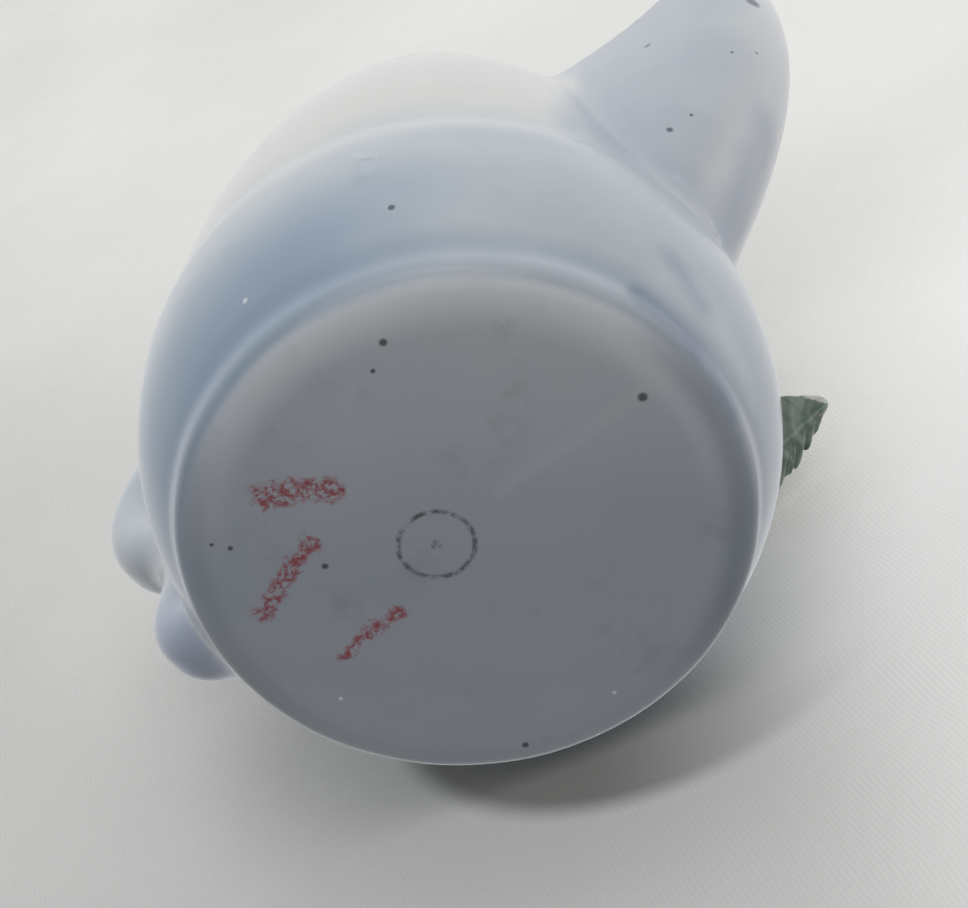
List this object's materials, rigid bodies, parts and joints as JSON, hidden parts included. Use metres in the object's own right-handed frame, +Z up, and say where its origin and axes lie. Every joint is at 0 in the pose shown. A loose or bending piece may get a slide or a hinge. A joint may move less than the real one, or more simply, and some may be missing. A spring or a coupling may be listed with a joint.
{
  "type": "cream jug",
  "caption": "Small pear-shaped glazed porcelain cream jug with a broad beak spout, an ear-shaped handle and an applied rose with leaves on one side.",
  "frame": {"origin": "centre of the flat underside of the foot", "axes": "+Z up, -X towards the spout, +X towards the handle, -Y towards the applied rose"},
  "size_m": [0.0689, 0.0497, 0.056],
  "materials": {
    "blue_glaze": "gloss",
    "rose_enamel": "gloss",
    "leaf_enamel": "gloss"
  },
  "bodies": {
    "root": {"jug_body": "blue_glaze", "spout": "blue_glaze", "handle": "blue_glaze", "rose_bud": "rose_enamel", "inner_petal_1": "rose_enamel", "inner_petal_2": "rose_enamel", "inner_petal_3": "rose_enamel", "outer_petal_1": "rose_enamel", "outer_petal_2": "rose_enamel", "outer_petal_3": "rose_enamel", "outer_petal_4": "rose_enamel", "outer_petal_5": "rose_enamel", "leaf_spout_side": "leaf_enamel", "leaf_handle_side": "leaf_enamel", "leaf_upper": "leaf_enamel"}
  },
  "joints": []
}
